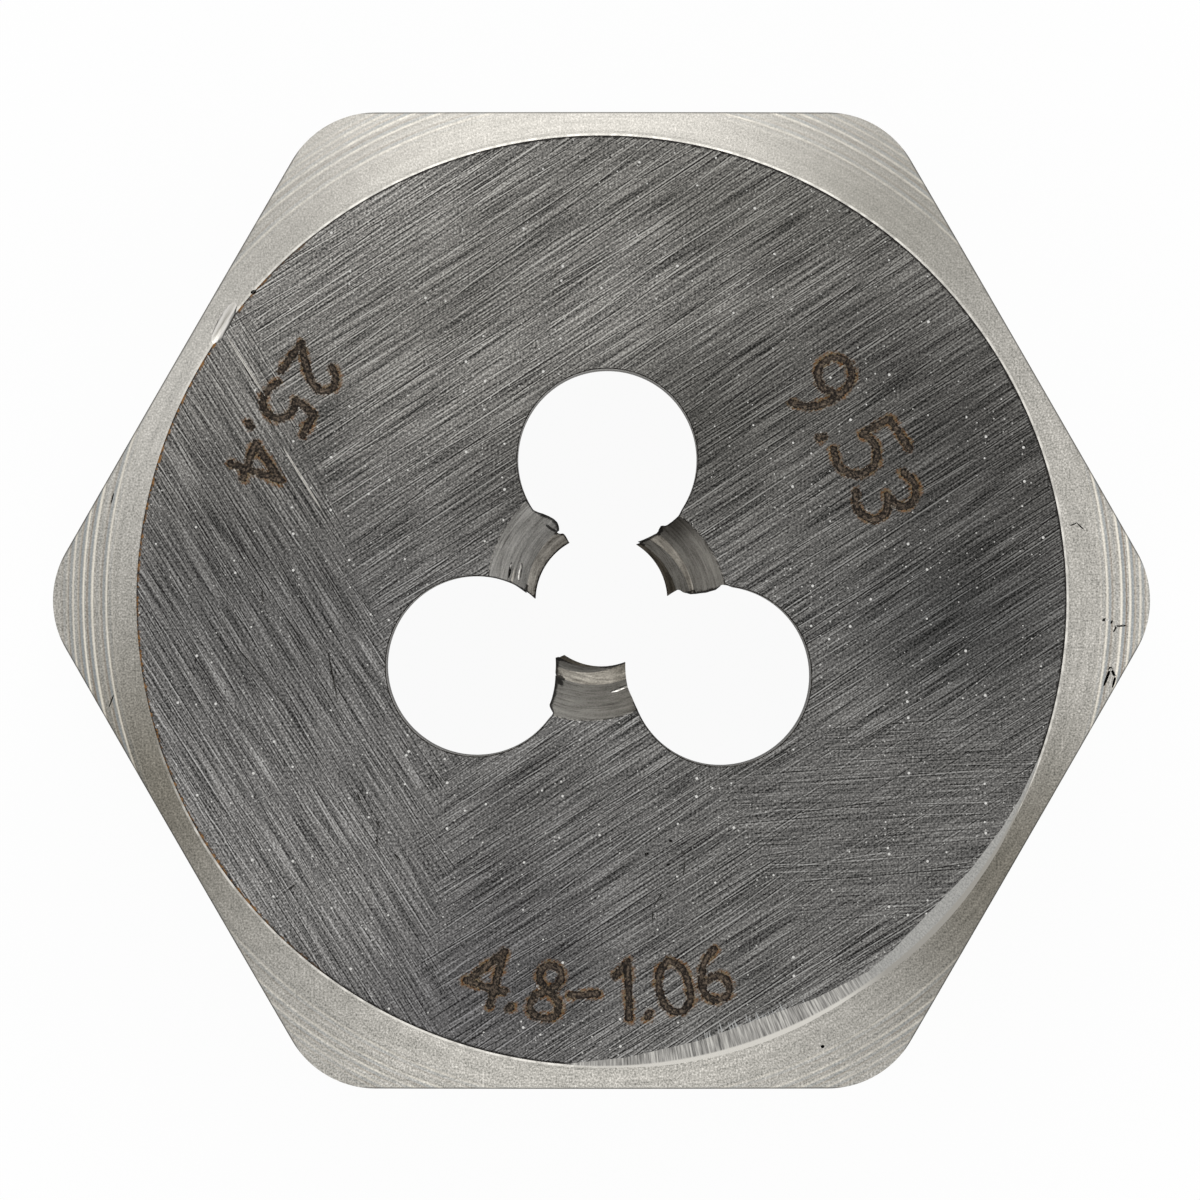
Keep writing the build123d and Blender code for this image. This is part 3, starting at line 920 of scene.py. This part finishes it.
scale = add(tree, "ValToRGB", crumb, stops=((0.35, "#15110e"), (0.5, "#373029"), (0.65, "#62564a")))
burnt = add(tree, "MapRange", gap, 0.245, 0.215)
tone = add(tree, "Mix", burnt, tone, scale, data_type="RGBA")
line = add(tree, "Math", add(tree, "MapRange", gap, 0.18, 0.2), burnt, operation="MULTIPLY")
broken = add(tree, "MapRange", spatter, 0.62, 0.45, 0.35, 1.0)
line = add(tree, "Math", broken, line, operation="MULTIPLY")
tone = add(tree, "Mix", line, tone, linear("#0d0a08"), data_type="RGBA")
metallic = add(tree, "MapRange", burnt, 0.0, 1.0, 1.0, 0.85)
finish_steel(tree, tone, height, 0.34, 0.5, metallic, deep=0.015)

# Whole die
# One block of hardened tool steel, with nothing set into it. Its rings are noted on the mesh
# for their tone, and its smooth shading stops at every sharp edge.
ring_highlight = work.verts.layers.float.new("ring_highlight")
ring_shade_band = work.verts.layers.float.new("ring_shade_band")
ring_dirt = work.verts.layers.float.new("ring_dirt")
# A ring has a painted highlight line at its middle, a band of painted blue-grey shade outside
# that, and dirt beyond: how far out each lies, and its width
ring_tones = ((ring_highlight, 0, 0.026), (ring_shade_band, 0.07, 0.04), (ring_dirt, 0.13, 0.02))
for vert in work.verts:
    from_centre = (vert.co.xy - ring_centre).length
    if vert.co.z > thickness / 2 and from_centre > face_radius + 0.1:
        for ring, _, depth in rings:
            for layer, outward, width in ring_tones:
                share = exp(-(((from_centre - ring - outward) / width) ** 2))
                vert[layer] += depth / deepest_ring * share

# The cuts leave slivers, which go, so that the skin of the die is closed and lies nowhere double
bmesh.ops.triangulate(work, faces=work.faces)
bmesh.ops.dissolve_degenerate(work, edges=work.edges, dist=1e-5)
corners = {}
for face in work.faces:
    corners.setdefault(frozenset(face.verts), []).append(face)
double = [face for faces in corners.values() if len(faces) > 1 for face in faces]
bmesh.ops.delete(work, geom=double, context="FACES")

for face in work.faces:
    face.material_index = face[finish]
bmesh.ops.scale(work, verts=work.verts, vec=(0.001, 0.001, 0.001))
die.data.materials.clear()
work.to_mesh(die.data)
work.free()
for name in finishes:
    die.data.materials.append(bpy.data.materials[name])
die.data.shade_smooth()
die.data.set_sharp_from_angle(angle=radians(9))

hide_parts("hex_die")
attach(die, "root")

# Floor, light and camera
# The die lies on white paper. The paper and the sky glow white to the camera, and to the
# steel that mirrors them, but only light the die as a plain studio would.
half_sheet = 0.6
# The paper lies a hair below the die, so that the two flat faces don't share a plane
hair = 0.00005
sheet = bmesh.new()
bmesh.ops.create_grid(sheet, x_segments=1, y_segments=1, size=half_sheet)
bmesh.ops.translate(sheet, verts=sheet.verts, vec=(0, 0, -hair))
floor = piece("floor", sheet)
paper = bpy.data.materials.new("white_paper")
paper.use_nodes = True
tree = paper.node_tree
tree.nodes.clear()


def seen_white(tree):
    """Share of the rays that see white: the camera's, and those that steel or glass sends on."""
    rays = add(tree, "LightPath").node.outputs
    share = add(tree, "Math", rays["Is Camera Ray"], rays["Is Glossy Ray"], operation="MAXIMUM")
    return add(tree, "Math", share, rays["Is Transmission Ray"], operation="MAXIMUM")


# A twentieth of the plain paper stays under the glow, and keeps the die's shadow
glow = add(tree, "Math", seen_white(tree), 0.95, operation="MULTIPLY")
lit_paper = add(tree, "BsdfDiffuse", linear("#f4f4f4"))
sheet_light = add(tree, "MixShader", glow, lit_paper, add(tree, "Emission"))
# From below the paper is clear, so that the back face of the die can be seen
below = add(tree, "NewGeometry", output="Backfacing")
add(tree, "OutputMaterial", add(tree, "MixShader", below, sheet_light, add(tree, "BsdfTransparent")))
floor.data.materials.append(paper)

world = bpy.data.worlds.new("studio")
bpy.context.scene.world = world
world.use_nodes = True
tree = world.node_tree
tree.nodes.clear()
glow = add(tree, "MapRange", seen_white(tree), 0.0, 1.0, 0.55, 1.0)
add(tree, "OutputWorld", add(tree, "Background", linear("#ffffff"), glow))

# Four softboxes stand round the die, 32 degrees above it: bearing and brightness
softboxes = [(94, 2.5), (-93, 1.25), (5, 0.85), (182, 0.4)]
box_rise = radians(32)
box_size = 0.42
box_distance = 0.5
for bearing, brightness in softboxes:
    box = bpy.data.lights.new("softbox", "AREA")
    box.shape = "SQUARE"
    box.size = box_size
    box.energy = pi * box_size ** 2 * brightness
    lamp = bpy.data.objects.new("softbox", box)
    level = cos(box_rise)
    toward = Vector((cos(radians(bearing)) * level, sin(radians(bearing)) * level, sin(box_rise)))
    lamp.location = toward * box_distance
    lamp.rotation_euler = toward.to_track_quat("Z", "Y").to_euler()
    bpy.context.scene.collection.objects.link(lamp)

# The camera looks straight down, with the die a hair off the middle of its frame
distance = 0.9
frame_width = 0.03119
off_middle = (-0.000039, 0.000013)
lens = bpy.data.cameras.new("camera")
lens.sensor_width = 36.0
lens.lens = lens.sensor_width * distance / frame_width
lens.clip_start = 0.01
lens.clip_end = 5.0
camera = bpy.data.objects.new("camera", lens)
camera.location = (*off_middle, thickness / 1000 + distance)
bpy.context.scene.collection.objects.link(camera)
bpy.context.scene.camera = camera

bpy.context.scene.view_settings.view_transform = "Standard"
